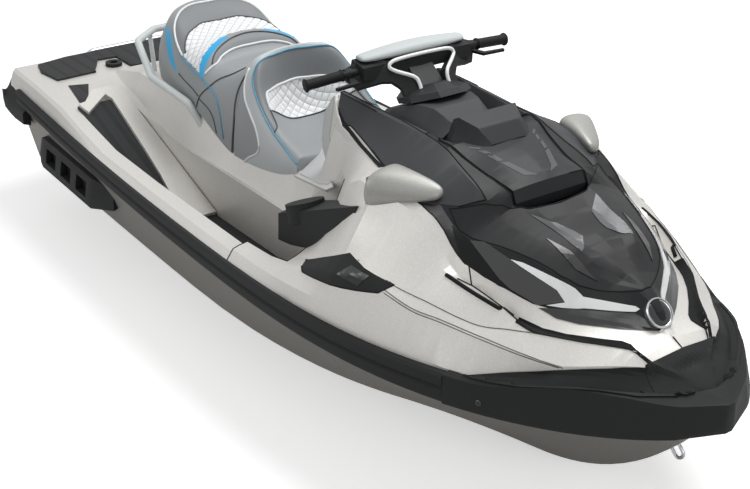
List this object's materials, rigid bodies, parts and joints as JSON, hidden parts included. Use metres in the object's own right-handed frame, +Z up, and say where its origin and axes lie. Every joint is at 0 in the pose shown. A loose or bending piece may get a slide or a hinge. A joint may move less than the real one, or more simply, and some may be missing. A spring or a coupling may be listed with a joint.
{
  "type": "personal_watercraft",
  "caption": "Three-seat personal watercraft with a closed hull, jet pump, turning handlebar, storage lids and a folding boarding ladder",
  "frame": {"origin": "on the floor under the middle of the craft, level with its keel pad", "axes": "+X towards the bow, +Y towards port, +Z up"},
  "size_m": [3.449, 1.255, 1.13],
  "materials": {
    "hull_gelcoat": "metal flake gelcoat",
    "deck_silver": "metal flake gelcoat",
    "dark_satin": "satin",
    "dark_plastic": "fine texture",
    "black_plastic": "matte",
    "screen_glass": "gloss",
    "mat_rubber": "grooved foam",
    "stainless": "brushed",
    "mirror_glass": "mirror",
    "pump_metal": "cast",
    "impeller_steel": "brushed",
    "engine_metal": "plain",
    "bar_metal": "anodised",
    "pad_vinyl": "soft",
    "grip_rubber": "ribbed",
    "lever_metal": "anodised",
    "mirror_silver": "satin",
    "seat_vinyl": "stitched vinyl",
    "handle_grey": "satin",
    "strut_white": "gloss"
  },
  "bodies": {
    "craft": {"bow_bumper": "black_plastic", "bow_deck": "deck_silver", "centre_body": "dark_plastic", "column_cover": "dark_plastic", "dash": "black_plastic", "deck": "deck_silver", "driver_seat": "seat_vinyl", "engine_block": "engine_metal", "footwell_mats": "mat_rubber", "front_body": "dark_satin", "grab_handle": "handle_grey", "hood": "dark_satin", "hull": "hull_gelcoat", "hull_eyes": "stainless", "intake_grate": "pump_metal", "ladder_brackets": "black_plastic", "middle_seat": "seat_vinyl", "mirror_glass": "mirror_glass", "mirror_pods": "mirror_silver", "nose_panel": "deck_silver", "pump_housing": "pump_metal", "rear_seat": "seat_vinyl", "ride_plate": "pump_metal", "side_consoles": "dark_plastic", "side_rails": "black_plastic", "side_vents": "black_plastic", "sockets": "black_plastic", "speaker_pods": "black_plastic", "sponsons": "black_plastic", "stern_bumpers": "black_plastic", "stern_mat": "mat_rubber", "storage_bin": "black_plastic"},
    "steering": {"steering_neck": "dark_satin", "handlebar": "bar_metal", "bar_cover": "dark_plastic", "bar_pad": "pad_vinyl", "grips": "grip_rubber", "levers": "lever_metal", "bar_struts": "strut_white"},
    "storage_lid_body": {"storage_lid": "dark_satin", "gauge_pod": "dark_satin", "gauge": "screen_glass"},
    "glovebox_lid_body": {"glovebox_lid": "dark_plastic"},
    "nozzle_body": {"steering_nozzle": "pump_metal"},
    "gate_body": {"reverse_gate": "pump_metal"},
    "impeller_body": {"impeller": "impeller_steel"},
    "ladder_body": {"boarding_ladder": "stainless"}
  },
  "joints": [
    {"name": "steering_turn", "type": "hinge", "parent": "craft", "child": "steering", "pos_m": [0.47, 0, 0.975], "axis": [-0.342, 0, 0.9397], "range_deg": [-25, 25]},
    {"name": "storage_lid_hinge", "type": "hinge", "parent": "craft", "child": "storage_lid_body", "pos_m": [0.992, 0, 0.842], "axis": [0, 1, 0], "range_deg": [0, 60]},
    {"name": "glovebox_lid_hinge", "type": "hinge", "parent": "craft", "child": "glovebox_lid_body", "pos_m": [0.21, 0, 0.802], "axis": [0, -1, 0], "range_deg": [0, 80]},
    {"name": "nozzle_turn", "type": "hinge", "parent": "craft", "child": "nozzle_body", "pos_m": [-1.49, 0, 0.165], "axis": [0, 0, 1], "range_deg": [-20, 20]},
    {"name": "reverse_gate_hinge", "type": "hinge", "parent": "craft", "child": "gate_body", "pos_m": [-1.425, 0, 0.165], "axis": [0, -1, 0], "range_deg": [0, 90]},
    {"name": "impeller_spin", "type": "hinge", "parent": "craft", "child": "impeller_body", "pos_m": [-1.24, 0, 0.165], "axis": [1, 0, 0], "continuous": true},
    {"name": "ladder_hinge", "type": "hinge", "parent": "craft", "child": "ladder_body", "pos_m": [-1.7085, 0, 0.33], "axis": [0, -1, 0], "range_deg": [0, 180]}
  ],
  "couplings": [
    {"joint": "nozzle_turn", "follows": "steering_turn", "ratio": -0.8}
  ]
}
